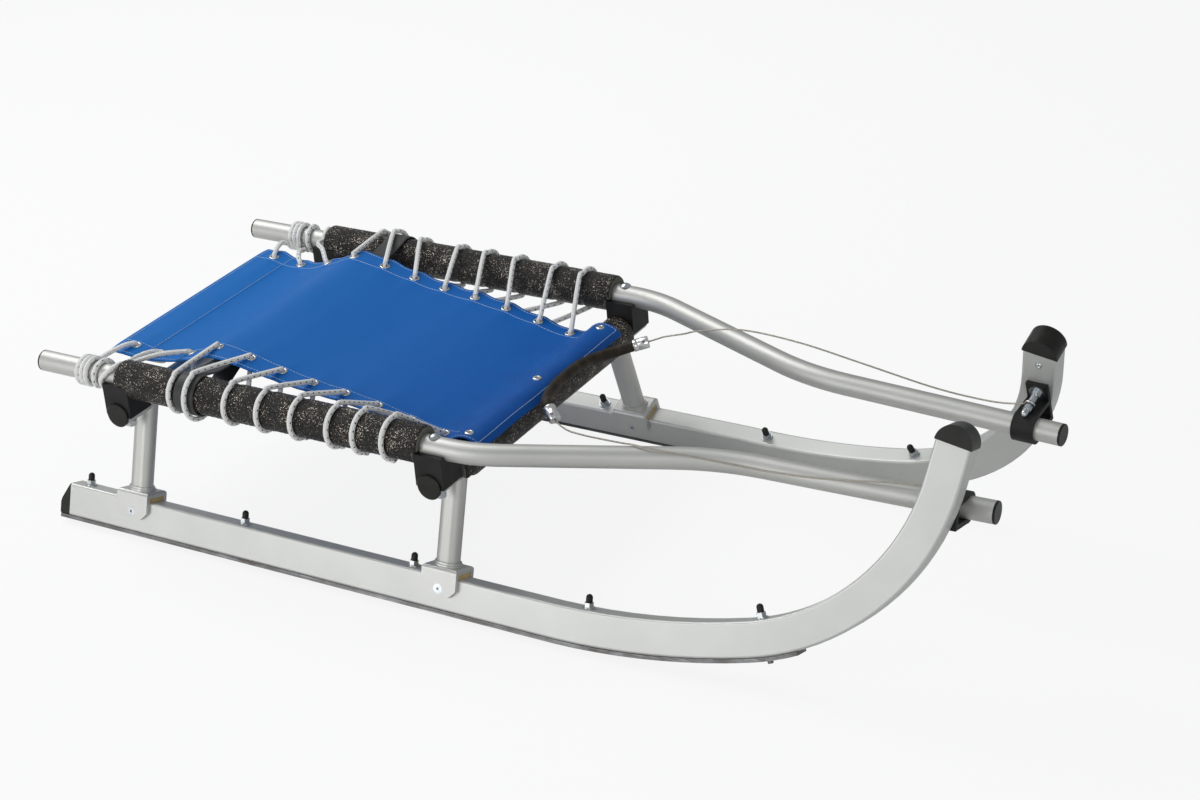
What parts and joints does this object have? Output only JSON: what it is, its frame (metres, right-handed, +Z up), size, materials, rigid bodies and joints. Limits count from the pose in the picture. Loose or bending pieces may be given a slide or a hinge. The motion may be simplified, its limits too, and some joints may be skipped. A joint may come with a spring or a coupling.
{
  "type": "sport luge sled",
  "caption": "Single-seat sport luge sled with two canted tube runners that curl up into horns, rubber-mounted legs and rails, a laced fabric seat and a cable rein.",
  "frame": {"origin": "middle of the sled on the ground under the running strips' inner edges, at half the rails' length", "axes": "+X forward to the horns, +Y to the rider's left, +Z up"},
  "size_m": [1.1666, 0.4831, 0.306],
  "materials": {
    "runner_aluminium": "satin anodised",
    "rail_aluminium": "satin anodised",
    "strip_steel": "dull, worn",
    "bolt_steel": "zinc plated",
    "black_plastic": "moulded, slightly shiny",
    "shoe_aluminium": "satin cast",
    "amber_rubber": "translucent amber",
    "black_rubber": "matte",
    "foam": "closed-cell foam with light specks",
    "blue_fabric": "coated woven",
    "strap_webbing": "woven webbing",
    "white_rope": "braided with dark flecks",
    "eyelet_metal": "nickel plated",
    "hose_rubber": "dark brown, ribbed fine",
    "cable_steel": "stranded"
  },
  "bodies": {
    "root": {"runner_left": "runner_aluminium", "runner_right": "runner_aluminium", "running_strip_left": "strip_steel", "running_strip_right": "strip_steel", "strip_bolts_left": "bolt_steel", "strip_bolts_right": "bolt_steel", "strip_bolt_caps": "black_plastic", "horn_cap_left": "black_plastic", "horn_cap_right": "black_plastic", "tail_cap_left": "black_plastic", "tail_cap_right": "black_plastic", "crossbar_front": "rail_aluminium", "crossbar_rear": "rail_aluminium", "crossbar_caps": "black_plastic", "leg_front_left": "rail_aluminium", "leg_front_right": "rail_aluminium", "leg_rear_left": "rail_aluminium", "leg_rear_right": "rail_aluminium", "shoe_front_left": "shoe_aluminium", "shoe_front_right": "shoe_aluminium", "shoe_rear_left": "shoe_aluminium", "shoe_rear_right": "shoe_aluminium", "shoe_pads": "amber_rubber", "shoe_screws": "bolt_steel", "saddle_front_left": "black_rubber", "saddle_front_right": "black_rubber", "saddle_rear_left": "black_rubber", "saddle_rear_right": "black_rubber", "saddle_bolts": "bolt_steel", "rail_left": "rail_aluminium", "rail_right": "rail_aluminium", "rail_caps": "black_plastic", "horn_clamp_left": "black_rubber", "horn_clamp_right": "black_rubber", "horn_bolts": "bolt_steel", "rail_pad_left": "foam", "rail_pad_right": "foam", "cross_pad": "foam", "seat_fabric": "blue_fabric", "seat_eyelets": "eyelet_metal", "flap_rivets": "eyelet_metal", "support_strap": "strap_webbing", "lacing_left": "white_rope", "lacing_right": "white_rope"},
    "rein": {"rein_handle": "hose_rubber", "rein_ferrules": "rail_aluminium", "rein_eyes": "cable_steel", "rein_cable_left": "cable_steel", "rein_cable_right": "cable_steel"}
  },
  "joints": [
    {"name": "rein_swing", "type": "hinge", "parent": "root", "child": "rein", "pos_m": [0.5406, 0, 0.2209], "axis": [0, 1, 0], "range_deg": [0, 70]}
  ]
}
